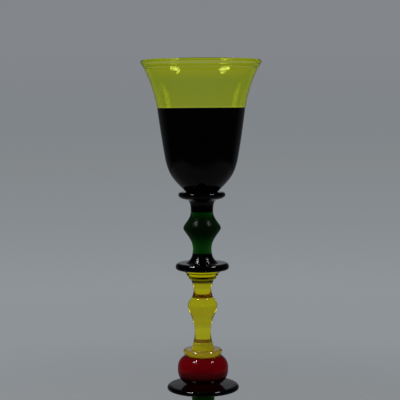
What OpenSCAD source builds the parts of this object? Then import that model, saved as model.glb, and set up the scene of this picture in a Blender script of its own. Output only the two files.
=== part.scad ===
// Tall water goblet of hot-worked coloured glass: a flared two-colour bowl on a stem of knops, rings and
// discs, each made by itself and fused end to end. Every joint between two pieces is a level round face.
// Millimetres, +Z up, origin at the middle of the foot, on the table.

/* [Foot] */
// Diameter of the foot
foot_w = 82; // [74:1:92]
// Height of the foot at its middle, where the stem is fused on
foot_rise = 8.7; // [7.5:0.1:12]
// Thickness of the glass at the edge of the foot
foot_edge_h = 3.2; // [2.6:0.1:4]
// Diameter of the ground hollow under the foot
hollow_w = 62; // [50:1:66]
// Depth of the hollow at its middle
hollow_h = 1.4; // [0.8:0.1:2]

/* [Lower stem] */
// Height of the dark green stem
stem_h = 44.2; // [36:0.1:52]
// Diameter where it is fused to the foot
stem_foot_w = 23; // [20:0.5:27]
// Diameter at its waist
stem_waist_w = 16.4; // [13:0.1:17.2]
// Height of the waist above the foot
stem_waist_z = 24; // [20:0.5:28]
// Diameter where it is fused under the lower disc
stem_top_w = 18.4; // [17.4:0.2:22]

/* [Lower disc] */
// Diameter of the wide black disc under the ball
plate_w = 54.3; // [48:0.1:60]
// Thickness of the disc
plate_h = 3.6; // [3.4:0.1:5]
// Rounding of its upper edge
plate_top_round = 2.2; // [1.6:0.1:2.2]
// Rounding of its lower edge
plate_low_round = 1.2; // [0.8:0.1:1.2]

/* [Red ball] */
// Diameter of the squashed ball
ball_w = 38.3; // [34:0.1:42]
// Height between its two fused faces
ball_h = 22.2; // [20:0.1:23.4]
// Height of its widest level above the lower disc
ball_mid_z = 12.2; // [11.4:0.1:13]
// How far its curve above the widest level would reach if it were whole
ball_top_reach = 12.6; // [12.2:0.1:14]
// How far its curve below the widest level would reach if it were whole
ball_low_reach = 14.1; // [13.8:0.1:17]
// Power of the oval that the ball follows, where 2 is a true ellipse
ball_power = 2.4; // [2:0.1:2.8]

/* [Yellow disc] */
// Diameter of the yellow wafer on the ball
wafer_w = 29.4; // [25:0.1:33]
// Thickness of the wafer
wafer_h = 4.8; // [4.2:0.1:5.6]
// Height of its widest level above the ball
wafer_mid_z = 3.6; // [2.8:0.1:3.9]
// Rounding of its upper edge, measured inwards
wafer_top_round = 1.2; // [0.8:0.1:1.8]
// Loss of radius from its widest level to its underside
wafer_low_round = 2; // [1:0.1:2.4]

/* [Yellow hub] */
// Height of the bell between the wafer and the baluster
hub_h = 5.5; // [4.5:0.1:7]
// Diameter of the hub at its shoulder
hub_top_w = 15; // [14.9:0.1:16.6]
// Height of the shoulder, from its widest level to the baluster
hub_shoulder_h = 1.2; // [0.8:0.1:1.8]
// Diameter of the hub at its foot
hub_foot_w = 17.2; // [16:0.1:19]

/* [Yellow baluster] */
// Height of the baluster
baluster_h = 34; // [30.6:0.1:40]
// Diameter at its shoulder
shoulder_w = 22.4; // [19:0.1:26]
// Height of the shoulder above the hub
shoulder_z = 27.9; // [22:0.1:30]
// Diameter at its waist
baluster_waist_w = 12.3; // [10:0.1:13.4]
// Height of the waist above the hub
baluster_waist_z = 7.6; // [6:0.1:10]
// Diameter where it is fused to the hub
baluster_foot_w = 14.3; // [13.6:0.1:14.8]
// Diameter where the neck is fused to it
baluster_top_w = 16; // [14.4:0.1:18]

/* [Yellow neck] */
// Height of the neck
neck_h = 13.6; // [10:0.1:16]
// Diameter at its waist
neck_waist_w = 13.3; // [11:0.1:14.2]
// Height of the waist above the baluster
neck_waist_z = 5.7; // [4:0.1:7]
// Diameter at its top, under the rings
neck_top_w = 17.4; // [15:0.1:18.6]

/* [Ringed collar] */
// Number of rings
ring_count = 3; // [1:1:3]
// Diameter of the top ring
ring_w = 26.8; // [26.4:0.1:30]
// Height of one ring
ring_h = 2.4; // [2:0.1:3.2]
// Loss of radius from one ring to the ring below it
ring_step = 1.5; // [1.1:0.05:1.7]
// Depth of the groove between two rings, measured in from the smaller ring
groove_depth = 0.8; // [0.5:0.1:1.2]

/* [Middle disc] */
// Diameter of the black disc under the green baluster
disc_w = 40.2; // [35:0.1:46]
// Thickness of the disc
disc_h = 5.1; // [4.6:0.1:5.8]
// Rounding of its upper edge
disc_top_round = 2.7; // [2.2:0.1:2.7]
// Rounding of its lower edge
disc_low_round = 1.9; // [1:0.1:1.9]
// Height of the black flare that rises from the disc
flare_h = 5.7; // [4.5:0.1:8]
// Diameter of the flare where it leaves the disc
flare_w = 24.8; // [21:0.1:28]

/* [Green baluster] */
// Height of the baluster
green_h = 32.7; // [28:0.1:38]
// Diameter at its knop
knop_w = 28.2; // [24:0.1:33]
// Height of the knop above the flare
knop_z = 20.5; // [17:0.1:23]
// Diameter at the waist below the knop
green_waist_w = 14; // [12:0.1:15]
// Height of that waist above the flare
green_waist_z = 4.6; // [3.6:0.1:6]
// Diameter where it is fused to the flare
green_foot_w = 15.3; // [15:0.1:17]
// Diameter where the collar's neck is fused to it
green_top_w = 16.8; // [15:0.1:18.6]

/* [Bowl collar] */
// Diameter of the black collar under the bowl
collar_w = 35.4; // [31:0.1:40]
// Thickness of the collar
collar_h = 5.3; // [4.6:0.1:6.4]
// Height from its widest level to its top
collar_crown_h = 2.2; // [1.6:0.1:2.8]
// Rounding of its upper edge, measured inwards
collar_round = 2.7; // [2:0.1:3.4]
// Diameter of its underside, where the neck's sweep ends
collar_sole_w = 28.4; // [25:0.1:30]
// Height of the black neck below it
collar_neck_h = 9.7; // [8:0.1:13]

/* [Bowl cup] */
// Height of the black cup
cup_h = 62.5; // [56:0.5:72]
// Diameter of its heel, fused to the collar
heel_w = 23.6; // [20:0.1:28]
// Diameter where the heel's curve ends and the wall rises
belly_w = 53.2; // [48:0.1:58]
// Height of that level above the collar
belly_z = 22; // [19:0.1:27]
// Diameter of the bowl at the seam between its two colours
seam_w = 65.7; // [60:0.1:72]
// Thickness of the bowl's wall
wall = 2.2; // [1.8:0.1:2.5]
// Thickness of the glass under the middle of the cup
floor_h = 4.9; // [4:0.1:7]

/* [Rim band] */
// Diameter over the lip
rim_w = 90; // [82:1:98]
// Height of the clear band
band_h = 35.2; // [30:0.1:42]
// Thickness of the fire-polished lip
lip_w = 2.6; // [2.4:0.1:3]
// Height of the lip above its widest level
lip_h = 1.6; // [1.2:0.1:2.2]

/* [Hidden] */

// Segments round each piece, and steps along one curve of an outline
turn_n = 96;
curve_n = 10;

// Glass colours
black_glass = [0.03, 0.03, 0.03];
green_glass = [0.02, 0.2, 0.05];
yellow_glass = [0.72, 0.66, 0.08];
ruby_glass = [0.55, 0.02, 0.08];
chartreuse_glass = [0.58, 0.68, 0.16];

// The stack, each level the sum of the pieces below it
z_stem = foot_rise;
z_plate = z_stem + stem_h;
z_ball = z_plate + plate_h;
z_wafer = z_ball + ball_h;
z_hub = z_wafer + wafer_h;
z_baluster = z_hub + hub_h;
z_neck = z_baluster + baluster_h;
z_rings = z_neck + neck_h;
z_disc = z_rings + ring_count * ring_h;
z_flare = z_disc + disc_h;
z_green = z_flare + flare_h;
z_collar_neck = z_green + green_h;
z_collar = z_collar_neck + collar_neck_h;
z_cup = z_collar + collar_h;
z_seam = z_cup + cup_h;
z_rim = z_seam + band_h;

// Where the two handles of each curve lie: shares of the way from its start to its end, across and up
round_out_shares = [[0.55, 0], [1, 0.45]];
round_in_shares = [[0, 0.55], [0.45, 1]];
foot_slope_shares = [[0.42, 0.17], [0.84, 0.44]];
stem_flare_shares = [[0.62, 0.14], [1, 0.5]];
stem_rise_shares = [[0, 0.4], [0.45, 0.75]];
wafer_under_shares = [[0.45, 0.1], [0.9, 0.55]];
hub_shares = [[0.6, 0.28], [0.92, 0.62]];
baluster_foot_shares = [[0.71, 0.33], [1, 0.62]];
baluster_rise_shares = [[0, 0.54], [1, 0.7]];
shoulder_shares = [[0, 0.3], [0.48, 0.69]];
neck_foot_shares = [[0.5, 0.3], [1, 0.6]];
neck_rise_shares = [[0, 0.3], [0.6, 0.7]];
flare_shares = [[0.44, 0.13], [0.87, 0.59]];
green_foot_shares = [[0.66, 0.33], [1, 0.65]];
knop_rise_shares = [[0, 0.52], [1, 0.81]];
knop_fall_shares = [[0, 0.25], [1, 0.55]];
collar_sweep_shares = [[0, 0.75], [0.16, 0.93]];
collar_sole_shares = [[0.57, 0.19], [1, 0.52]];
heel_shares = [[0.72, 0.44], [0.85, 0.63]];
cup_rise_shares = [[0.19, 0.11], [0.75, 0.68]];
cup_floor_shares = [[0.62, 0], [0.9, 0.45]];
band_shares = [[0.2, 0.36], [0.5, 0.73]];
// Where the oval of the lip leaves the outer wall and meets the inner one, as shares of a full turn
lip_turn_shares = [-0.125, 0.47];

// Points after a up to b, along a cubic curve whose handles lie at the shares s of the way across and up
function bow(a, b, s) = [
    for (i = [1:curve_n])
        let (t = i / curve_n, u = 1 - t, d = b - a,
             p = a + [d[0] * s[0][0], d[1] * s[0][1]], q = a + [d[0] * s[1][0], d[1] * s[1][1]])
            u * u * u * a + 3 * u * u * t * p + 3 * u * t * t * q + t * t * t * b
];

// The same points in the other order
function backwards(p) = [for (i = [len(p) - 1:-1:0]) p[i]];

// Outline p moved inwards, level by level, so that the wall between the two is w thick
function inside(p, w) = [
    for (i = [0:len(p) - 1])
        let (d = p[min(i + 1, len(p) - 1)] - p[max(i - 1, 0)])
            [p[i][0] - w * norm(d) / d[1], p[i][1]]
];

// A solid of revolution from an outline that starts and ends on the axis or closes on itself
module turned(p) rotate_extrude($fn = turn_n) polygon(p);

module foot() {
    edge_r = foot_edge_h / 2;
    color(black_glass) turned(concat(
        [[0, hollow_h], [hollow_w / 2, 0], [foot_w / 2 - edge_r, 0]],
        bow([foot_w / 2 - edge_r, 0], [foot_w / 2, edge_r], round_out_shares),
        bow([foot_w / 2, edge_r], [foot_w / 2 - edge_r, foot_edge_h], round_in_shares),
        bow([foot_w / 2 - edge_r, foot_edge_h], [stem_foot_w / 2, foot_rise], foot_slope_shares),
        [[0, foot_rise]]));
}

module lower_stem() {
    waist = [stem_waist_w / 2, z_stem + stem_waist_z];
    color(green_glass) turned(concat(
        [[0, z_stem], [stem_foot_w / 2, z_stem]],
        bow([stem_foot_w / 2, z_stem], waist, stem_flare_shares),
        bow(waist, [stem_top_w / 2, z_plate], stem_rise_shares),
        [[0, z_plate]]));
}

// A disc with a rounded edge, from z up: w across, h thick
module rounded_disc(w, h, z, top_round, low_round) {
    turned(concat(
        [[0, z], [w / 2 - low_round, z]],
        bow([w / 2 - low_round, z], [w / 2, z + low_round], round_out_shares),
        bow([w / 2, z + h - top_round], [w / 2 - top_round, z + h], round_in_shares),
        [[0, z + h]]));
}

module lower_disc() color(black_glass)
    rounded_disc(plate_w, plate_h, z_plate, plate_top_round, plate_low_round);

module red_ball() {
    z_mid = z_ball + ball_mid_z;
    // Radius at a height h from the widest level, on the side that reaches so far
    function ball_r(h, reach) = ball_w / 2 * (1 - (h / reach) ^ ball_power) ^ (1 / ball_power);
    top_h = ball_h - ball_mid_z;
    color(ruby_glass) turned(concat(
        [[0, z_ball]],
        [for (i = [curve_n:-1:0])
            let (h = ball_mid_z * i / curve_n) [ball_r(h, ball_low_reach), z_mid - h]],
        [for (i = [1:curve_n])
            let (h = top_h * i / curve_n) [ball_r(h, ball_top_reach), z_mid + h]],
        [[0, z_wafer]]));
}

module yellow_disc() {
    widest = [wafer_w / 2, z_wafer + wafer_mid_z];
    color(yellow_glass) turned(concat(
        [[0, z_wafer], [wafer_w / 2 - wafer_low_round, z_wafer]],
        bow([wafer_w / 2 - wafer_low_round, z_wafer], widest, wafer_under_shares),
        bow(widest, [wafer_w / 2 - wafer_top_round, z_hub], round_in_shares),
        [[0, z_hub]]));
}

module yellow_hub() {
    // The hub's rounded shoulder runs in to the foot of the baluster
    shoulder = [hub_top_w / 2, z_baluster - hub_shoulder_h];
    color(yellow_glass) turned(concat(
        [[0, z_hub], [hub_foot_w / 2, z_hub]],
        bow([hub_foot_w / 2, z_hub], shoulder, hub_shares),
        bow(shoulder, [baluster_foot_w / 2, z_baluster], round_in_shares),
        [[0, z_baluster]]));
}

module yellow_baluster() {
    waist = [baluster_waist_w / 2, z_baluster + baluster_waist_z];
    shoulder = [shoulder_w / 2, z_baluster + shoulder_z];
    color(yellow_glass) turned(concat(
        [[0, z_baluster], [baluster_foot_w / 2, z_baluster]],
        bow([baluster_foot_w / 2, z_baluster], waist, baluster_foot_shares),
        bow(waist, shoulder, baluster_rise_shares),
        bow(shoulder, [baluster_top_w / 2, z_neck], shoulder_shares),
        [[0, z_neck]]));
}

// Radius of the groove above ring i, counted from the top ring; the last one is the top of the neck
function groove_r(i) = i == ring_count ? neck_top_w / 2 : ring_w / 2 - groove_depth - ring_step * i;

module yellow_neck() {
    waist = [neck_waist_w / 2, z_neck + neck_waist_z];
    color(yellow_glass) turned(concat(
        [[0, z_neck], [baluster_top_w / 2, z_neck]],
        bow([baluster_top_w / 2, z_neck], waist, neck_foot_shares),
        bow(waist, [groove_r(ring_count), z_rings], neck_rise_shares),
        [[0, z_rings]]));
}

module ringed_collar() {
    color(yellow_glass) turned(concat(
        [[0, z_rings], [groove_r(ring_count), z_rings]],
        [for (i = [ring_count - 1:-1:0])
            let (low = z_disc - ring_h * (i + 1), rim = [ring_w / 2 - ring_step * i, low + ring_h / 2])
                each concat(
                    bow([groove_r(i + 1), low], rim, round_out_shares),
                    bow(rim, [groove_r(i), low + ring_h], round_in_shares))],
        [[0, z_disc]]));
}

module middle_disc() color(black_glass) union() {
    rounded_disc(disc_w, disc_h, z_disc, disc_top_round, disc_low_round);
    turned(concat(
        [[0, z_flare], [flare_w / 2, z_flare]],
        bow([flare_w / 2, z_flare], [green_foot_w / 2, z_green], flare_shares),
        [[0, z_green]]));
}

module green_baluster() {
    waist = [green_waist_w / 2, z_green + green_waist_z];
    knop = [knop_w / 2, z_green + knop_z];
    color(green_glass) turned(concat(
        [[0, z_green], [green_foot_w / 2, z_green]],
        bow([green_foot_w / 2, z_green], waist, green_foot_shares),
        bow(waist, knop, knop_rise_shares),
        bow(knop, [green_top_w / 2, z_collar_neck], knop_fall_shares),
        [[0, z_collar_neck]]));
}

module bowl_collar() {
    sole = [collar_sole_w / 2, z_collar];
    widest = [collar_w / 2, z_cup - collar_crown_h];
    color(black_glass) turned(concat(
        [[0, z_collar_neck], [green_top_w / 2, z_collar_neck]],
        bow([green_top_w / 2, z_collar_neck], sole, collar_sweep_shares),
        bow(sole, widest, collar_sole_shares),
        bow(widest, [collar_w / 2 - collar_round, z_cup], round_in_shares),
        [[0, z_cup]]));
}

module bowl_cup() {
    belly = [belly_w / 2, z_cup + belly_z];
    seam = [seam_w / 2, z_seam];
    rise = concat([belly], bow(belly, seam, cup_rise_shares));
    inner = inside(rise, wall);
    color(black_glass) turned(concat(
        [[0, z_cup], [heel_w / 2, z_cup]],
        bow([heel_w / 2, z_cup], belly, heel_shares),
        bow(belly, seam, cup_rise_shares),
        backwards(inner),
        backwards(bow([0, z_cup + floor_h], inner[0], cup_floor_shares)),
        [[0, z_cup + floor_h]]));
}

module rim_band() {
    // The lip is an oval bead round this point
    bead = [rim_w / 2 - lip_w / 2, z_rim - lip_h];
    function lip_at(share) = bead + [lip_w / 2 * cos(360 * share), lip_h * sin(360 * share)];
    seam = [seam_w / 2, z_seam];
    // The inner edge of the seam is the cup's
    cup_inner = inside(concat([[belly_w / 2, z_cup + belly_z]],
                              bow([belly_w / 2, z_cup + belly_z], seam, cup_rise_shares)), wall);
    outer = bow(seam, lip_at(lip_turn_shares[0]), band_shares);
    inner = inside(concat([seam], outer), wall);
    lip_n = curve_n * 2;
    color(chartreuse_glass) turned(concat(
        [seam], outer,
        [for (i = [1:lip_n])
            lip_at(lip_turn_shares[0] + (lip_turn_shares[1] - lip_turn_shares[0]) * i / lip_n)],
        [for (i = [len(inner) - 1:-1:1]) inner[i]],
        [cup_inner[len(cup_inner) - 1]]));
}

foot();
lower_stem();
lower_disc();
red_ball();
yellow_disc();
yellow_hub();
yellow_baluster();
yellow_neck();
ringed_collar();
middle_disc();
green_baluster();
bowl_collar();
bowl_cup();
rim_band();
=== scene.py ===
"""Tall water goblet of hot-worked coloured glass: the finish of its fourteen fused pieces."""

import math

import bpy
from mathutils import Euler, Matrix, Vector


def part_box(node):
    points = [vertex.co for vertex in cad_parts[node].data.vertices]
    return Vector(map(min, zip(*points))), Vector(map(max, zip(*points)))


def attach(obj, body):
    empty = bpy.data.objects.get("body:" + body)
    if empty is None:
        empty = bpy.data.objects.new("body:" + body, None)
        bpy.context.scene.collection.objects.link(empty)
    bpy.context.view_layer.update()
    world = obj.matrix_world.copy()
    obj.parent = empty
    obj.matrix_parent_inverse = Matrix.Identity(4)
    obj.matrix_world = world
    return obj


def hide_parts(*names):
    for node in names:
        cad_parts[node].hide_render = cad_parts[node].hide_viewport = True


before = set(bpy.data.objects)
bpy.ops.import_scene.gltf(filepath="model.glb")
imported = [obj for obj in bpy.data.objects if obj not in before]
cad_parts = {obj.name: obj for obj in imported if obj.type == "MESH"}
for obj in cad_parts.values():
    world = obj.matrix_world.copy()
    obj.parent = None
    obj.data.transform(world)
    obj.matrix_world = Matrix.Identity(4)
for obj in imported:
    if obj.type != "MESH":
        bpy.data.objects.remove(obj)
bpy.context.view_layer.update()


# Foot
# The foot is a thin disc of black glass, spun open from a gather on the end of the stem. Its edge is
# fire-polished, and a shallow hollow is ground out of its underside so that it stands on a ring.

MM = 0.001
STRAIGHT = None
ROUND_OUT = ((0.55, 0), (1, 0.45))
ROUND_IN = ((0, 0.55), (0.45, 1))


def bow(a, b, handles, steps=14):
    """Points after a up to b on a cubic curve; each handle is given as shares of the way across and up."""
    d = (b[0] - a[0], b[1] - a[1])
    p, q = ((a[0] + d[0] * h[0], a[1] + d[1] * h[1]) for h in handles)
    points = []
    for i in range(1, steps + 1):
        t = i / steps
        u = 1 - t
        points.append(tuple(
            u * u * u * a[k] + 3 * u * u * t * p[k] + 3 * u * t * t * q[k] + t * t * t * b[k]
            for k in (0, 1)))
    return points


def flat(a, b, steps=6):
    """Points after a up to b on a straight line."""
    return [tuple(a[k] + (b[k] - a[k]) * i / steps for k in (0, 1)) for i in range(1, steps + 1)]


def drawn(start, *stretches):
    """Outline from the start along its stretches: the end of each, its handles or STRAIGHT, and its steps."""
    points, at = [start], start
    for end, handles, *steps in stretches:
        points += bow(at, end, handles, *steps) if handles else flat(at, end, *steps)
        at = end
    return points


class Wire:
    """A socket of a node tree that works in Python sums; each sign adds its Math node."""

    def __init__(self, tree, socket=None):
        self.tree, self.socket = tree, socket

    def add(self, kind, settings=None, out=0, **sockets):
        """Any other node: its type, its settings, then the values or links of its sockets, each under its
        name with _ for a blank, or under _ and its number. The output is named or numbered by out."""
        node = self.tree.nodes.new(kind)
        for name, value in (settings or {}).items():
            if name == "stops":
                for stop, (at, colour) in zip(self.stops(node, len(value)), value):
                    stop.position, stop.color = at, colour
            else:
                setattr(node, name, value)
        for name, value in sockets.items():
            key = int(name[1:]) if name[0] == "_" else name.replace("_", " ")
            if isinstance(value, Wire):
                self.tree.links.new(value.socket, node.inputs[key])
            else:
                node.inputs[key].default_value = value
        return Wire(self.tree, node.outputs[out] if node.outputs else None)

    @staticmethod
    def stops(node, count):
        """The stops of a colour ramp, made up to the count."""
        while len(node.color_ramp.elements) < count:
            node.color_ramp.elements.new(0.5)
        return node.color_ramp.elements

    def sum(self, sign, a, b):
        return self.add("ShaderNodeMath", {"operation": sign}, _0=a, _1=b)

    def __add__(self, other):
        return self.sum("ADD", self, other)

    def __radd__(self, other):
        return self.sum("ADD", other, self)

    def __sub__(self, other):
        return self.sum("SUBTRACT", self, other)

    def __rsub__(self, other):
        return self.sum("SUBTRACT", other, self)

    def __mul__(self, other):
        return self.sum("MULTIPLY", self, other)

    def __rmul__(self, other):
        return self.sum("MULTIPLY", other, self)

    def __truediv__(self, other):
        return self.sum("DIVIDE", self, other)


SAME = 1e-6  # points and levels closer than this are one, m
SWAY_SCALE = 38.0


def turning_tree():
    """The lathe: turns an outline about the axis, with the slight unevenness of hand work."""
    tree = bpy.data.node_groups.new("turning", "GeometryNodeTree")
    for name, kind in (("Outline", "Geometry"), ("Steps", "Int"), ("Unevenness", "Float"),
                       ("Low joint", "Float"), ("High joint", "Float"), ("Glass", "Material"),
                       ("Joint glass", "Material")):
        tree.interface.new_socket(name, in_out="INPUT", socket_type="NodeSocket" + kind)
    tree.interface.new_socket("Piece", in_out="OUTPUT", socket_type="NodeSocketGeometry")
    w = Wire(tree)
    given = tree.nodes.new("NodeGroupInput")
    outline, steps, uneven, low, high, glass, joint = (Wire(tree, s) for s in given.outputs[:7])
    points = w.add("GeometryNodeAttributeDomainSize", {"component": "MESH"}, Geometry=outline)
    net = w.add("GeometryNodeMeshGrid", Vertices_X=steps + 1, Vertices_Y=points)
    index = w.add("GeometryNodeInputIndex")
    column = w.sum("FLOOR", (index + 0.5) / points, 0)
    place = w.add("GeometryNodeInputPosition")
    at = w.add("GeometryNodeSampleIndex", {"data_type": "FLOAT_VECTOR"}, Geometry=outline, Value=place,
               Index=index - column * points)
    spun = w.add("ShaderNodeVectorRotate", {"rotation_type": "Z_AXIS"}, Vector=at,
                 Angle=column / steps * math.tau)
    shell = w.add("GeometryNodeSetPosition", Geometry=net, Position=spun)
    shell = w.add("GeometryNodeMergeByDistance", Geometry=shell, Distance=SAME)
    sway = w.add("ShaderNodeTexNoise", {"noise_dimensions": "3D"}, Vector=place, Scale=SWAY_SCALE, Detail=0.0)
    pull = w.add("ShaderNodeVectorMath", {"operation": "MULTIPLY"}, _0=place, _1=(-1.0, -1.0, 0.0))
    pull = w.add("ShaderNodeVectorMath", {"operation": "SCALE"}, _0=pull, Scale=sway * uneven)
    shell = w.add("GeometryNodeSetPosition", Geometry=shell, Offset=pull)
    shell = w.add("GeometryNodeSetShadeSmooth", Geometry=shell)
    shell = w.add("GeometryNodeRealizeInstances", Geometry=shell)
    shell = w.add("GeometryNodeSetMaterial", Geometry=shell, Material=glass)
    height = w.add("ShaderNodeSeparateXYZ", out="Z", Vector=place)
    fused = w.sum("MAXIMUM", w.sum("LESS_THAN", height, low + SAME),
                  w.sum("GREATER_THAN", height, high - SAME))
    shell = w.add("GeometryNodeSetMaterial", Geometry=shell, Selection=fused, Material=joint)
    out = tree.nodes.new("NodeGroupOutput")
    tree.links.new(shell.socket, out.inputs[0])
    return tree


TURNING = turning_tree()
TURN_STEPS = 192
UNEVEN = 0.004
FAR_BELOW, FAR_ABOVE = -1000, 1000
SHARP = math.radians(35)


def turned(name, outline, glass, joint, low=FAR_BELOW, high=FAR_ABOVE):
    """One blown or turned piece from its outline in millimetres, as a plain closed mesh. It is of the joint
    glass up to the low level and from the high one."""
    mesh = bpy.data.meshes.new(name)
    mesh.from_pydata([(r * MM, 0, z * MM) for r, z in outline],
                     [(i, i + 1) for i in range(len(outline) - 1)], [])
    piece = bpy.data.objects.new(name + "_glass", mesh)
    bpy.context.scene.collection.objects.link(piece)
    lathe = piece.modifiers.new("turning", "NODES")
    lathe.node_group = TURNING
    given = {"Steps": TURN_STEPS, "Unevenness": UNEVEN, "Low joint": low * MM, "High joint": high * MM,
             "Glass": glass, "Joint glass": joint}
    for item in TURNING.interface.items_tree:
        if item.in_out == "INPUT" and item.name in given:
            lathe[item.identifier] = given[item.name]
    bpy.context.view_layer.update()
    shape = bpy.data.meshes.new_from_object(piece.evaluated_get(bpy.context.evaluated_depsgraph_get()))
    piece.modifiers.clear()
    piece.data = shape
    shape.name = piece.name
    shape.set_sharp_from_angle(angle=SHARP)
    return piece


def levels(node):
    """Lowest and highest level of a CAD node, in millimetres."""
    low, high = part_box(node)
    return low[2] / MM, high[2] / MM


def radius(node):
    """Widest radius of a CAD node, in millimetres to the hundredth, as it is drawn."""
    return round(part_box(node)[1][0] / MM, 2)


def fitted(piece, node):
    """The piece stands for its CAD node and rides with the goblet."""
    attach(piece, "root")
    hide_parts(node)


def new_material(name):
    """An empty material, and the wire that adds its nodes."""
    mat = bpy.data.materials.new(name)
    mat.use_nodes = True
    mat.node_tree.nodes.clear()
    return mat, Wire(mat.node_tree)


def mixed(w, share, a, b):
    """Colour a, turned by the share into colour b."""
    return w.add("ShaderNodeMix", {"data_type": "RGBA"}, out=2, _0=share, _6=a, _7=b)


BLACK_BODY, BLACK_STREAK = (0.0006, 0.0006, 0.0008, 1), (0.002, 0.0018, 0.0022, 1)
BLACK_SEAL = (0.0015, 0.0015, 0.002, 1)
DUST_FROM = 0.79
BUMP_H = 0.0004


def black_glass():
    """Dense black glass: no light comes through, and its skin is fire-polished."""
    mat, w = new_material("glossy_black_glass")
    place = w.add("ShaderNodeTexCoord", out="Object")
    cords = w.add("ShaderNodeMapping", Vector=place, Scale=(1.0, 1.0, 6.0))
    streaks = w.add("ShaderNodeTexNoise", Vector=cords, Scale=90.0, Detail=3.0, Roughness=0.55)
    haze = w.add("ShaderNodeTexNoise", Vector=place, Scale=420.0, Detail=4.0, Roughness=0.6)
    dust = w.add("ShaderNodeTexNoise", Vector=place, Scale=2600.0, Detail=1.0)
    specks = w.sum("GREATER_THAN", dust, DUST_FROM)
    bump = w.add("ShaderNodeBump", Strength=0.05, Distance=BUMP_H, Height=streaks + haze * 0.12)
    body = mixed(w, streaks * 0.5 + specks * 0.35, BLACK_BODY, BLACK_STREAK)
    skin = w.add("ShaderNodeBsdfPrincipled", Base_Color=body, Roughness=0.018 + haze * 0.035 + specks * 0.1,
                 IOR=1.55, Normal=bump)
    w.add("ShaderNodeOutputMaterial", Surface=skin)
    return mat


def black_joint():
    """The face where black glass is fused to the next piece: nothing shines there."""
    mat, w = new_material("black_joint")
    w.add("ShaderNodeOutputMaterial", Surface=w.add("ShaderNodeBsdfDiffuse", Color=BLACK_SEAL))
    return mat


BLACK = black_glass()
BLACK_JOINT = black_joint()

SKIN = 0.01  # half the gap that keeps two fused faces apart, mm
FOOT_R, STEM_SOLE_R = radius("foot"), radius("lower_stem")
FOOT_EDGE, HOLLOW_R, HOLLOW = 1.6, 31.0, 1.4
high = levels("foot")[1] - SKIN
foot = turned("foot", drawn(
    (0, HOLLOW), ((HOLLOW_R, 0), STRAIGHT, 16), ((FOOT_R - FOOT_EDGE, 0), STRAIGHT),
    ((FOOT_R, FOOT_EDGE), ROUND_OUT), ((FOOT_R - FOOT_EDGE, 2 * FOOT_EDGE), ROUND_IN),
    ((STEM_SOLE_R, high), ((0.42, 0.17), (0.84, 0.44)), 30), ((0, high), STRAIGHT)),
    BLACK, BLACK_JOINT, high=high)
fitted(foot, "foot")


# Lower stem
# The dark green stem is drawn from one gather, flares on to the foot and is fused under the wide
# disc. The glass is so deep a green that only thin places let light through.

def inside_of(tree, soak):
    """The body of the glass, which soaks up so much red, green and blue in a metre."""
    density = max(soak)
    return Wire(tree).add("ShaderNodeVolumeAbsorption", Density=density,
                          Color=tuple(1 - s / density for s in soak) + (1,))


def scaled(w, colour, by, share=1.0):
    """The colour, multiplied by another in that share."""
    return w.add("ShaderNodeMix", {"data_type": "RGBA", "blend_type": "MULTIPLY", "clamp_result": False},
                 out=2, _0=share, _6=colour, _7=by)


def clear_glass(name, thin, deep, soak, milky, ior=1.5, cord_depth=0.05, painted_shades=(), rough=0.0, coat=0.0):
    """Coloured glass with fine cords in it, tinted between two colours; the milky share of the light is
    scattered. The painted shades, given by level in millimetres, deepen the tint by height: light and
    shade painted into the glass. The skin may be rough or have a brighter coat. Also returned: the
    see-through face where it is fused to the next piece."""
    mat, w = new_material(name)
    place = w.add("ShaderNodeTexCoord", out="Object")
    cords = w.add("ShaderNodeMapping", Vector=place, Scale=(1.0, 1.0, 5.0))
    streaks = w.add("ShaderNodeTexNoise", Vector=cords, Scale=70.0, Detail=2.0, Roughness=0.5)
    bump = w.add("ShaderNodeBump", Strength=cord_depth, Distance=BUMP_H, Height=streaks)
    tint = mixed(w, streaks, thin + (1,), deep + (1,))
    # Painted light and shade: a ramp by height that deepens the tint in bands.
    if painted_shades:
        low, high = painted_shades[0][0], painted_shades[-1][0]
        height = w.add("ShaderNodeMapRange", Value=w.add("ShaderNodeSeparateXYZ", out="Z", Vector=place),
                       From_Min=low * MM, From_Max=high * MM)
        stops = [((level - low) / (high - low), shade + (1,)) for level, shade in painted_shades]
        tint = scaled(w, tint, w.add("ShaderNodeValToRGB", {"stops": stops}, Fac=height))
    skin = w.add("ShaderNodeBsdfPrincipled", Base_Color=tint, Roughness=rough, IOR=ior,
                 Transmission_Weight=1 - milky, Normal=bump, Coat_Weight=coat)
    w.add("ShaderNodeOutputMaterial", Surface=skin, Volume=inside_of(w.tree, soak))
    joint, w = new_material(name + "_joint")
    w.add("ShaderNodeOutputMaterial", Surface=w.add("ShaderNodeBsdfTransparent"),
          Volume=inside_of(w.tree, soak))
    return mat, joint


UNSHADED = (1, 1, 1)
stem_top = levels("lower_stem")[1]
# Painted shade: the ramp below deepens the stem's tint under the lower disc.
GREEN, GREEN_JOINT = clear_glass(
    "dark_green_glass", thin=(0.6, 0.8, 0.6), deep=(0.45, 0.7, 0.45), soak=(370.0, 190.0, 380.0),
    milky=0.004, ior=1.2, cord_depth=0.02, rough=0.22,
    painted_shades=((stem_top - 2.9, (0.55, 0.55, 0.55)), (stem_top + 7.1, UNSHADED)))


def ends(node):
    """The levels of a node's two fused faces, each drawn in by the skin."""
    low, high = levels(node)
    return low + SKIN, high - SKIN


STEM_WAIST_R, STEM_WAIST_H, STEM_TOP_R = 8.2, 24, 9.2
low, high = ends("lower_stem")
waist = (STEM_WAIST_R, low + STEM_WAIST_H)
stem = turned("lower_stem", drawn(
    (0, low), ((STEM_SOLE_R, low), STRAIGHT), (waist, ((0.62, 0.14), (1, 0.5)), 30),
    ((STEM_TOP_R, high), ((0, 0.4), (0.45, 0.75)), 20), ((0, high), STRAIGHT)),
    GREEN, GREEN_JOINT, low, high)
fitted(stem, "lower_stem")


# Lower disc
# A wide disc of black glass, pressed flat while hot and rounded at its edge in the fire. It is fused on
# the end of the stem and carries the ball.

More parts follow.
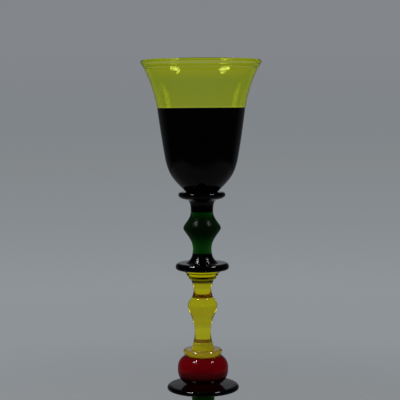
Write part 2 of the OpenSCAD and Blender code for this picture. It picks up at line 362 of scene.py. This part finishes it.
def disc_edge(r, low, high, low_round, top_round):
    """Outline of a disc's underside and its rounded edge, up to the flat top."""
    return (drawn((0, low), ((r - low_round, low), STRAIGHT, 10), ((r, low + low_round), ROUND_OUT))
            + bow((r, high - top_round), (r - top_round, high), ROUND_IN))


LOWER_DISC_R, LOWER_DISC_SOLE, LOWER_DISC_EDGE = radius("lower_disc"), 1.2, 2.2
low, high = levels("lower_disc")
outline = disc_edge(LOWER_DISC_R, low, high, LOWER_DISC_SOLE, LOWER_DISC_EDGE)
outline += flat((LOWER_DISC_R - LOWER_DISC_EDGE, high), (0, high), 16)
disc = turned("lower_disc", outline, BLACK, BLACK_JOINT)
fitted(disc, "lower_disc")


# Red ball
# A squashed ball of deep ruby glass, solid right through. It is fused on the black disc, and the wafer
# pressed on to it has flattened its top.

ball_low = levels("red_ball")[0]
# Painted shade: the ramp below paints the ball's tint nearly black over its lower part, above the black disc.
RUBY, RUBY_JOINT = clear_glass(
    "deep_ruby_glass", thin=(0.6, 0.01, 0.024), deep=(0.5, 0.004, 0.012), soak=(8.0, 120.0, 50.0),
    milky=0.24, ior=1.33, painted_shades=((ball_low + 6.0, (0.02, 0.04, 0.04)), (ball_low + 11.7, UNSHADED)))

BALL_R, BALL_POWER, BALL_STEPS = radius("red_ball"), 2.4, 28
BALL_MID, BALL_REACH_DOWN, BALL_REACH_UP = 12.2, 14.1, 12.6


def oval(reach, drop):
    """Points of the ball's oval of that half height, from its widest level to one that lies so far off."""
    points = []
    for i in range(BALL_STEPS + 1):
        off = drop * i / BALL_STEPS
        points.append((BALL_R * (1 - (off / reach) ** BALL_POWER) ** (1 / BALL_POWER), off))
    return points


low, high = ends("red_ball")
mid = ball_low + BALL_MID
under = [(r, mid - off) for r, off in reversed(oval(BALL_REACH_DOWN, mid - low))]
over = [(r, mid + off) for r, off in oval(BALL_REACH_UP, high - mid)][1:]
outline = drawn((0, low), (under[0], STRAIGHT)) + under[1:] + over + flat(over[-1], (0, high))
ball = turned("red_ball", outline, RUBY, RUBY_JOINT, low, high)
fitted(ball, "red_ball")


# Yellow disc
# A flat wafer of yellow glass pressed on the ball, its top edge slanted by the press. The film of air
# that it traps on the ball shines like foil; the shine's warm tint is a painted reflection of the ball.

YELLOW_SOAK = (2.0, 6.0, 200.0)
WAFER_GLASS = clear_glass(
    "wafer_glass", thin=(0.98, 0.82, 0.12), deep=(0.94, 0.76, 0.09), soak=YELLOW_SOAK, milky=0.22,
    coat=0.4)[0]
# Painted reflection: the foil's warm colour paints in red light from the ball below.
FOIL_SHINE_PAINTED_RED, FOIL_SHARE = (1.0, 0.84, 0.6, 1), 0.92


def air_film():
    """The wafer's underside on its film of air, with a painted warm reflection of the ball in its shine."""
    mat, w = new_material("air_film")
    shine = w.add("ShaderNodeBsdfGlossy", Color=FOIL_SHINE_PAINTED_RED, Roughness=0.06)
    film = w.add("ShaderNodeMixShader", _0=FOIL_SHARE, _1=w.add("ShaderNodeBsdfTransparent"), _2=shine)
    w.add("ShaderNodeOutputMaterial", Surface=film, Volume=inside_of(w.tree, YELLOW_SOAK))
    return mat


WAFER_SOLE_R, WAFER_R, WAFER_WIDEST, WAFER_TOP_R = 12.7, radius("yellow_disc"), 3.6, 13.4
SLANT_LOW_R, SLANT_LOW_H, SLANT_TOP_R, SLANT_DROP = 14.62, 3.76, 13.68, 0.06
low, high = ends("yellow_disc")
outline = drawn((0, low), ((WAFER_SOLE_R, low), STRAIGHT),
                ((WAFER_R, low + WAFER_WIDEST), ((0.45, 0.1), (0.9, 0.55))))
outline += flat((SLANT_LOW_R, low + SLANT_LOW_H), (SLANT_TOP_R, high - SLANT_DROP))
outline += drawn((WAFER_TOP_R, high), ((0, high), STRAIGHT, 10))
wafer = turned("yellow_disc", outline, WAFER_GLASS, air_film(), low)
fitted(wafer, "yellow_disc")


# Yellow hub
# A small bell of yellow glass, of a deeper amber tone. It is drawn out towards the wafer that it is fused
# on, and the baluster stands on its top.

AMBER, AMBER_JOINT = clear_glass(
    "amber_glass", thin=(1.0, 0.98, 0.04), deep=(1.0, 0.92, 0.02), soak=YELLOW_SOAK, milky=0.62)

HUB_SOLE_R, HUB_R, HUB_ROUND, HUB_TOP_R = radius("yellow_hub"), 7.5, 1.2, 7.15
low, high = ends("yellow_hub")
hub = turned("yellow_hub", drawn(
    (0, low), ((HUB_SOLE_R, low), STRAIGHT), ((HUB_R, high - HUB_ROUND), ((0.6, 0.28), (0.92, 0.62))),
    ((HUB_TOP_R, high), ROUND_IN), ((0, high), STRAIGHT)),
    AMBER, AMBER_JOINT, low, high)
fitted(hub, "yellow_hub")


# Yellow baluster
# Turned with the jacks from one solid gather of yellow glass, full at the shoulder and drawn in
# towards the hub.

YELLOW, YELLOW_JOINT = clear_glass(
    "clear_yellow_glass", thin=(1.0, 0.985, 0.17), deep=(1.0, 0.955, 0.11), soak=YELLOW_SOAK, milky=0.15)

BALUSTER_WAIST_R, BALUSTER_WAIST_H = 6.15, 7.6
SHOULDER_R, SHOULDER_H, BALUSTER_TOP_R = radius("yellow_baluster"), 27.9, 8.0
low, high = ends("yellow_baluster")
waist, shoulder = (BALUSTER_WAIST_R, low + BALUSTER_WAIST_H), (SHOULDER_R, low + SHOULDER_H)
baluster = turned("yellow_baluster", drawn(
    (0, low), ((HUB_TOP_R, low), STRAIGHT), (waist, ((0.71, 0.33), (1, 0.62)), 20),
    (shoulder, ((0, 0.54), (1, 0.7)), 36), ((BALUSTER_TOP_R, high), ((0, 0.3), (0.48, 0.69)), 20),
    ((0, high), STRAIGHT)),
    YELLOW, YELLOW_JOINT, low, high)
fitted(baluster, "yellow_baluster")


# Yellow neck
# A hollow-sided neck of yellow glass between the baluster's shoulder and the stacked rings. Its tint is
# painted dark just under the rings: painted shade, where the thick glass above takes its light.

neck_top = levels("yellow_neck")[1]
NECK_GLASS = clear_glass(
    "neck_glass", thin=(1.0, 0.97, 0.17), deep=(1.0, 0.93, 0.11), soak=YELLOW_SOAK, milky=0.06,
    painted_shades=((neck_top - 3.0, UNSHADED), (neck_top - 1.8, (0.16, 0.16, 0.2)),
            (neck_top - 0.2, (0.12, 0.12, 0.15))))[0]

NECK_WAIST_R, NECK_WAIST_H, NECK_TOP_R = 6.65, 5.7, radius("yellow_neck")
low, high = ends("yellow_neck")
waist = (NECK_WAIST_R, low + NECK_WAIST_H)
neck = turned("yellow_neck", drawn(
    (0, low), ((BALUSTER_TOP_R, low), STRAIGHT), (waist, ((0.5, 0.3), (1, 0.6)), 20),
    ((NECK_TOP_R, high), ((0, 0.3), (0.6, 0.7)), 24), ((0, high), STRAIGHT)),
    NECK_GLASS, YELLOW_JOINT, low, high)
fitted(neck, "yellow_neck")


# Ringed collar
# Three rings of yellow glass, each laid on hot round one core and smaller than the one above it. The
# grooves between them stay sharp.

RING_GLASS = clear_glass(
    "ring_glass", thin=(0.98, 0.98, 0.2), deep=(0.96, 0.95, 0.14), soak=YELLOW_SOAK, milky=0.0, ior=1.25)[0]

RINGS, RING_R, RING_STEP, GROOVE = 3, radius("ringed_collar"), 1.5, 0.8
FULL_OUT, FULL_IN = ((0.75, 0.02), (1, 0.2)), ((0, 0.8), (0.25, 0.98))
low, high = ends("ringed_collar")
ring_h = (high - low) / RINGS


def groove(i):
    """Radius of the groove above ring i, counted from the top; under the last ring is the neck's top."""
    return NECK_TOP_R if i == RINGS else RING_R - GROOVE - RING_STEP * i


outline = drawn((0, low), ((groove(RINGS), low), STRAIGHT))
for i in reversed(range(RINGS)):
    sole = high - ring_h * (i + 1)
    crest = (RING_R - RING_STEP * i, sole + ring_h / 2)
    outline += bow((groove(i + 1), sole), crest, FULL_OUT, 16)
    outline += bow(crest, (groove(i), sole + ring_h), FULL_IN, 16)
rings = turned("ringed_collar", outline + flat(outline[-1], (0, high)), RING_GLASS, YELLOW_JOINT, low, high)
fitted(rings, "ringed_collar")


# Middle disc
# A black disc like the lower one, with a short flare drawn up from it to meet the green baluster. Fine
# ripples from the tool run round the flare.

MIDDLE_DISC_R = radius("middle_disc")
MIDDLE_DISC_H, MIDDLE_DISC_SOLE, MIDDLE_DISC_EDGE = 5.1, 1.9, 2.7
FLARE_R, FLARE_TOP_R = 12.4, 7.65
RIPPLE, RIPPLE_PITCH = 0.05, 1.0
low, high = levels("middle_disc")
top = low + MIDDLE_DISC_H
outline = disc_edge(MIDDLE_DISC_R, low, top, MIDDLE_DISC_SOLE, MIDDLE_DISC_EDGE)
outline += flat((MIDDLE_DISC_R - MIDDLE_DISC_EDGE, top), (FLARE_R, top))
for r, z in bow((FLARE_R, top), (FLARE_TOP_R, high), ((0.44, 0.13), (0.87, 0.59)), 90):
    ripple = RIPPLE * math.sin(math.tau * (z - top) / RIPPLE_PITCH) * min(1, high - z)
    outline.append((r + ripple, z))
outline += flat((FLARE_TOP_R, high), (0, high))
middle = turned("middle_disc", outline, BLACK, BLACK_JOINT, low, high)
fitted(middle, "middle_disc")


# Green baluster
# The dark green baluster is solid glass, shaped with the jacks into one sharp-waisted knop. It is fused
# between the black flare and the bowl's collar.

GREEN_WAIST_R, GREEN_WAIST_H = 7.0, 4.6
KNOP_R, KNOP_H, GREEN_TOP_R = radius("green_baluster"), 20.5, 8.4
low, high = ends("green_baluster")
waist, knop = (GREEN_WAIST_R, low + GREEN_WAIST_H), (KNOP_R, low + KNOP_H)
green = turned("green_baluster", drawn(
    (0, low), ((FLARE_TOP_R, low), STRAIGHT), (waist, ((0.66, 0.33), (1, 0.65)), 14),
    (knop, ((0, 0.52), (1, 0.81)), 30), ((GREEN_TOP_R, high), ((0, 0.25), (1, 0.55)), 24),
    ((0, high), STRAIGHT)),
    GREEN, GREEN_JOINT, low, high)
fitted(green, "green_baluster")


# Bowl collar
# The black collar that carries the bowl: a rounded ring of solid glass, swept down into a short neck.
# Its flat top is fused to the cup's heel.

NECK_H, SOLE_R = 9.7, 14.2
COLLAR_R, CROWN, COLLAR_ROUND = radius("bowl_collar"), 2.2, 2.7
low, high = levels("bowl_collar")
sole, widest = (SOLE_R, low + NECK_H), (COLLAR_R, high - CROWN)
collar = turned("bowl_collar", drawn(
    (0, low), ((GREEN_TOP_R, low), STRAIGHT), (sole, ((0, 0.75), (0.16, 0.93)), 24),
    (widest, ((0.57, 0.19), (1, 0.52)), 16), ((COLLAR_R - COLLAR_ROUND, high), ROUND_IN, 16),
    ((0, high), STRAIGHT, 8)),
    BLACK, BLACK_JOINT, low)
fitted(collar, "bowl_collar")


# Bowl cup
# The lower part of the bowl is blown in black glass: a full heel, then a wall that rises almost
# straight to the seam where the clear band begins.

WALL = 2.2
CUP_SOLE_R, BELLY_R, BELLY_H, SEAM_R, WELL_H = 11.8, 26.6, 22, radius("bowl_cup"), 4.9


def inside(p, wall):
    """Outline p moved inwards level by level, so that the wall between the two has one thickness."""
    moved = []
    for i in range(len(p)):
        a, b = p[max(i - 1, 0)], p[min(i + 1, len(p) - 1)]
        across, up = b[0] - a[0], b[1] - a[1]
        moved.append((p[i][0] - wall * math.hypot(across, up) / up, p[i][1]))
    return moved


low, high = levels("bowl_cup")
belly, seam, well = (BELLY_R, low + BELLY_H), (SEAM_R, high), (0, low + WELL_H)
heel = drawn((0, low), ((CUP_SOLE_R, low), STRAIGHT), (belly, ((0.72, 0.44), (0.85, 0.63)), 36))
rise = drawn(belly, (seam, ((0.19, 0.11), (0.75, 0.68)), 30))
inner = inside(rise, WALL)
bottom = drawn(well, (inner[0], ((0.62, 0), (0.9, 0.45)), 30))
cup = turned("bowl_cup", heel + rise[1:] + inner[::-1] + bottom[-2::-1], BLACK, BLACK_JOINT)
fitted(cup, "bowl_cup")


# Rim band
# The clear chartreuse band is blown with the cup as one bowl, and opens out to a fire-polished lip.
# Its root sits a little way down in the seam, and the glass near the lip is a little deeper in colour.

low, high = levels("rim_band")
LIME_SOAK = (9.0, 3.0, 300.0)
# Painted light and shade: the band's tint is full just above the seam, deeper mid-wall, paler towards the
# lip.
LIME = clear_glass(
    "clear_chartreuse_glass", thin=(1.0, 1.0, 0.6), deep=(0.97, 0.98, 0.52), soak=LIME_SOAK, milky=0.0,
    ior=1.33, cord_depth=0.08,
    painted_shades=((low + 0.7, UNSHADED), (low + 1.4, (0.85, 0.89, 0.85)), (low + 20.2, (0.82, 0.87, 0.88)),
            (low + 29.2, (0.93, 0.96, 0.75))))[0]
LIP_GLASS = clear_glass(
    "lip_glass", thin=(0.89, 0.93, 0.34), deep=(0.86, 0.9, 0.3), soak=LIME_SOAK, milky=0.0, ior=1.2,
    coat=0.35)[0]

RIM_R, LIP_W, LIP_H, LIP_GLASS_H = radius("rim_band"), 2.6, 1.6, 4.0
LIP_START, LIP_END, LIP_STEPS = -0.125, 0.47, 36
ROOT_H, ROOT_IN = 0.3, 0.02
bead = (RIM_R - LIP_W / 2, high - LIP_H)


def lip(share):
    """A point of the lip's oval, at a share of a full turn."""
    return (bead[0] + LIP_W / 2 * math.cos(math.tau * share), bead[1] + LIP_H * math.sin(math.tau * share))


outer = drawn(seam, (lip(LIP_START), ((0.2, 0.36), (0.5, 0.73)), 36))
inner = inside(outer, WALL)
seam_in = (inside(rise, WALL)[-1][0], low)
root, root_in = (seam[0] - ROOT_IN, low - ROOT_H), (seam_in[0] + ROOT_IN, low - ROOT_H)
outline = [root] + outer
outline += [lip(LIP_START + (LIP_END - LIP_START) * i / LIP_STEPS) for i in range(1, LIP_STEPS + 1)]
outline += inner[:0:-1] + [seam_in, root_in, root]
band = turned("rim_band", outline, LIME, LIP_GLASS, high=bead[1] - LIP_GLASS_H)
fitted(band, "rim_band")


# Studio
# A pale grey floor that runs into a grey surround, three soft lamps above the goblet's sides, and the
# camera at the photograph's place. What black glass mirrors is dark, but for the part behind the goblet.

FLOOR_R, FLOOR_SIDES = 60, 64
SURROUND_LOW, SURROUND = (0.216, 0.235, 0.250, 1), (0.227, 0.238, 0.254, 1)
NEAR_FLOOR = (0.58, 0.608, 0.63, 1)
DARK, DIM = (0.006, 0.006, 0.007, 1), (0.054, 0.054, 0.057, 1)
BRIGHTER = (1.3, 1.3, 1.3, 1)
BEHIND_STOPS = ((0.3, 0.0), (0.6, 0.1), (0.9, 0.2), (0.965, 0.5), (1.0, 1.0))
# Shades of the far floor, by the share away / (away + 1) of its distance in metres.
FLOOR_SHADES = (
    (0.24, (0.266, 0.287, 0.305, 1)), (0.46, (0.275, 0.296, 0.314, 1)), (0.574, (0.254, 0.275, 0.292, 1)),
    (0.692, (0.238, 0.258, 0.275, 1)), (0.816, (0.231, 0.246, 0.258, 1)), (0.944, SURROUND_LOW))
# Where the glow of the far floor takes over from the cloth, and where the dark floor that black glass
# mirrors is a little paler: from the front edge inwards, and from further off inwards. In metres.
FAR_FROM, FAR_FULL = 0.1, 0.5
FRONT_FROM, FRONT_FULL, OFF_FROM, OFF_FULL = -0.42, -0.2, 0.72, 0.5
TINY = 0.001  # keeps a division from zero


def behind_share(w, back):
    """How much of the pale surround black glass mirrors: all of it right behind the goblet, none in front."""
    stops = [(at, (share, share, share, 1)) for at, share in BEHIND_STOPS]
    return w.add("ShaderNodeValToRGB", {"stops": stops}, Fac=back)


def eased(w, value, start, full):
    """A share that grows smoothly from none at the start to all at the full value."""
    return w.add("ShaderNodeMapRange", {"interpolation_type": "SMOOTHSTEP"}, Value=value, From_Min=start,
                 From_Max=full)


def ray_kinds(w, *kinds):
    """Whether the ray that looks is of each of these kinds."""
    rays = w.tree.nodes.new("ShaderNodeLightPath")
    return [Wire(w.tree, rays.outputs["Is %s Ray" % kind]) for kind in kinds]


def studio_floor():
    """A round floor: cloth that keeps the shadow near the goblet, and an even glow further off."""
    mesh = bpy.data.meshes.new("floor")
    turns = [math.tau * i / FLOOR_SIDES for i in range(FLOOR_SIDES)]
    edge = [(FLOOR_R * math.cos(turn), FLOOR_R * math.sin(turn), 0) for turn in turns]
    mesh.from_pydata(edge, [], [tuple(range(FLOOR_SIDES))])
    floor = bpy.data.objects.new("floor", mesh)
    bpy.context.scene.collection.objects.link(floor)
    mat, w = new_material("studio_floor")
    place = w.add("ShaderNodeTexCoord", out="Object")
    away = w.add("ShaderNodeVectorMath", {"operation": "LENGTH"}, out="Value", _0=place)
    glossy, through = ray_kinds(w, "Glossy", "Transmission")
    shade = w.add("ShaderNodeValToRGB", {"stops": FLOOR_SHADES}, Fac=away / (away + 1))
    glow = w.add("ShaderNodeEmission", Color=scaled(w, shade, BRIGHTER, through))
    far = eased(w, away, FAR_FROM, FAR_FULL)
    cloth = w.add("ShaderNodeMixShader", _0=w.sum("MAXIMUM", far, through),
                  _1=w.add("ShaderNodeBsdfDiffuse", Color=NEAR_FLOOR), _2=glow)
    across = w.add("ShaderNodeSeparateXYZ", out="Y", Vector=place)
    close = eased(w, across, FRONT_FROM, FRONT_FULL) * eased(w, away, OFF_FROM, OFF_FULL)
    dim = w.add("ShaderNodeEmission", Color=mixed(w, close, DARK, DIM))
    aside = 1 - behind_share(w, across / (away + TINY))
    mirrored = glossy * (1 - through)
    w.add("ShaderNodeOutputMaterial", Surface=w.add(
        "ShaderNodeMixShader", _0=aside * mirrored, _1=cloth, _2=dim))
    mesh.materials.append(mat)


# The parts of the surround, each by its colour and by how far up or back a way has to point to meet it.
# The pane has four such marks each way: where it starts, where it is full, where it falls off and ends.
OVERHEAD, OVERHEAD_FROM, OVERHEAD_FULL = (0.085, 0.088, 0.094, 1), 0.222, 0.252
LOW_SURROUND_FROM, LOW_SURROUND_FULL = -0.02, 0.05
FRONT_WALL, BEHIND_FROM, BEHIND_FULL = (0.15, 0.15, 0.15, 1), -0.15, 0.35
CEILING, CEILING_FROM, CEILING_FULL = (0.34, 0.26, 0.18, 1), 0.4, 0.56
PANE, PANE_BACK, PANE_UP = (2.5, 2.5, 2.3, 1), (0.12, 0.24, 0.4, 0.55), (0.19, 0.25, 0.36, 0.46)
FILL = (0.16, 0.162, 0.165, 1)


def studio_world():
    """The surround: the camera sees one even grey, clear glass sees a bright pane and ceiling as well, and
    black glass mirrors only what is behind the goblet."""
    world = bpy.data.worlds.new("studio")
    bpy.context.scene.world = world
    world.use_nodes = True
    world.node_tree.nodes.clear()
    w = Wire(world.node_tree)
    way = w.add("ShaderNodeTexCoord")
    camera, glossy, through = ray_kinds(w, "Camera", "Glossy", "Transmission")
    back, up = (w.add("ShaderNodeSeparateXYZ", out=axis, Vector=way) for axis in "YZ")
    rise = w.add("ShaderNodeMapRange", Value=up, From_Min=LOW_SURROUND_FROM, From_Max=LOW_SURROUND_FULL)
    sky = mixed(w, rise, SURROUND_LOW, SURROUND)

    level = w.add("ShaderNodeVectorMath", {"operation": "MULTIPLY"}, _0=way, _1=(1.0, 1.0, 0.0))
    level = w.add("ShaderNodeVectorMath", {"operation": "NORMALIZE"}, _0=level)
    straight = behind_share(w, w.add("ShaderNodeSeparateXYZ", out="Y", Vector=level))
    over = mixed(w, eased(w, up, OVERHEAD_FROM, OVERHEAD_FULL), sky, OVERHEAD)
    reflected = mixed(w, straight, DARK, over)

    clear = mixed(w, eased(w, up, CEILING_FROM, CEILING_FULL), scaled(w, sky, BRIGHTER), CEILING)
    clear = mixed(w, eased(w, back, BEHIND_FROM, BEHIND_FULL), FRONT_WALL, clear)
    pane = 1.0
    for part, (start, full, fall, gone) in ((back, PANE_BACK), (up, PANE_UP)):
        pane = pane * eased(w, part, start, full) * eased(w, part, gone, fall)
    clear = mixed(w, pane, clear, PANE)

    seen = mixed(w, glossy * (1 - through), clear, reflected)
    seen = mixed(w, camera, seen, sky)
    shown = w.sum("MAXIMUM", camera, w.sum("MAXIMUM", glossy, through))
    w.add("ShaderNodeOutputWorld", Surface=w.add("ShaderNodeBackground", Color=mixed(w, shown, FILL, seen)))


STEM_MID, LAMP_AWAY = 0.18, 0.9


def soft_lamp(name, azimuth, elevation, wide, high, glow):
    """A soft rectangular lamp of that glow, which looks at the goblet's stem from its azimuth, counted from
    the front, and its elevation."""
    a, e = math.radians(azimuth), math.radians(elevation)
    lamp = bpy.data.lights.new(name, "AREA")
    lamp.shape, lamp.size, lamp.size_y = "RECTANGLE", wide, high
    lamp.energy = glow * math.pi * wide * high
    ob = bpy.data.objects.new(name, lamp)
    bpy.context.scene.collection.objects.link(ob)
    aim = Vector((0, 0, STEM_MID))
    way = Vector((math.sin(a) * math.cos(e), -math.cos(a) * math.cos(e), math.sin(e)))
    ob.location = aim + LAMP_AWAY * way
    ob.rotation_euler = (aim - ob.location).to_track_quat("-Z", "Y").to_euler()


studio_floor()
studio_world()
soft_lamp("left_lamp", azimuth=-75, elevation=58, wide=0.26, high=0.14, glow=13)
soft_lamp("small_lamp", azimuth=-90, elevation=69, wide=0.05, high=0.05, glow=140)
soft_lamp("right_lamp", azimuth=80, elevation=57.5, wide=0.26, high=0.1, glow=14)

# The camera, fitted to the picture: its focal length and the horizon's height above the middle are in
# pixels of the 400 x 400 frame, its place is in metres and its roll in degrees.
FRAME, FOCAL, HORIZON, ROLL = 400, 1140, 92, -0.4
SENSOR = 36.0
EYE = (-0.0014, -0.849, 0.2646)
camera = bpy.data.cameras.new("camera")
camera.sensor_width, camera.lens = SENSOR, SENSOR * FOCAL / FRAME
eye = bpy.data.objects.new("camera", camera)
bpy.context.scene.collection.objects.link(eye)
eye.location = EYE
pitch = Euler((math.radians(90) - math.atan(HORIZON / FOCAL), 0, 0)).to_matrix()
roll = Euler((0, 0, math.radians(ROLL))).to_matrix()
eye.rotation_euler = (pitch @ roll).to_euler()
bpy.context.scene.camera = eye
bpy.context.scene.view_settings.view_transform = "Standard"
